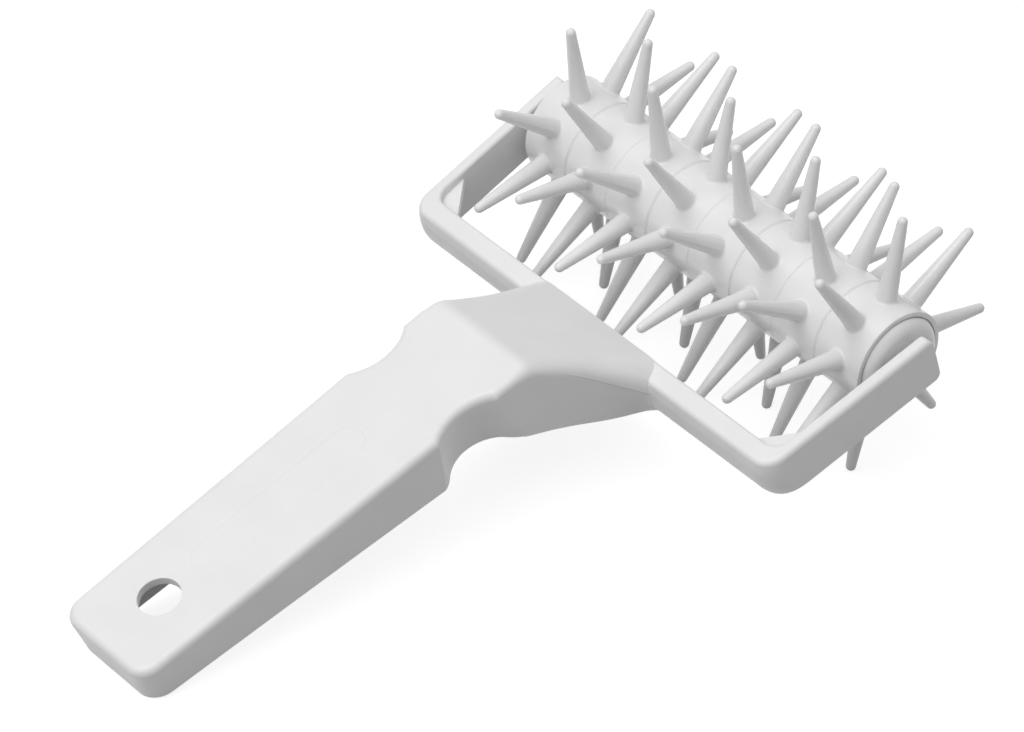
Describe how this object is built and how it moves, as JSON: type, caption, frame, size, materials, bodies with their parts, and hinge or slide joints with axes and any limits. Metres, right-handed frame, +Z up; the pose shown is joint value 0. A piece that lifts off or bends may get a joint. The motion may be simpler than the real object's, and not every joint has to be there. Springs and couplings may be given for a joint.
{
  "type": "dough docker",
  "caption": "Hand roller for pricking dough: spiked rings on an axle in a forked yoke, with a hollow plastic handle that has a hang hole.",
  "frame": {"origin": "on the table under the middle of the whole tool, as it lies on its spikes and its tail", "axes": "+X along the axle, +Y from the handle to the roller, +Z up"},
  "size_m": [0.1236, 0.206, 0.0644],
  "materials": {
    "handle_plastic": "satin white moulded plastic",
    "roller_plastic": "satin white moulded plastic",
    "steel": "drawn steel rod"
  },
  "bodies": {
    "handle": {"handle_frame": "handle_plastic", "axle_rod": "steel"},
    "roller": {"core_tube": "roller_plastic", "end_cap_left": "roller_plastic", "end_cap_right": "roller_plastic", "spiked_ring_1": "roller_plastic", "spiked_ring_2": "roller_plastic", "spiked_ring_3": "roller_plastic", "spiked_ring_4": "roller_plastic", "spiked_ring_5": "roller_plastic", "spiked_ring_6": "roller_plastic", "spiked_ring_7": "roller_plastic", "spiked_ring_8": "roller_plastic"}
  },
  "joints": [
    {"name": "roller_spin", "type": "hinge", "parent": "handle", "child": "roller", "pos_m": [0, 0.07078, 0.0322], "axis": [1, 0, 0], "continuous": true}
  ]
}
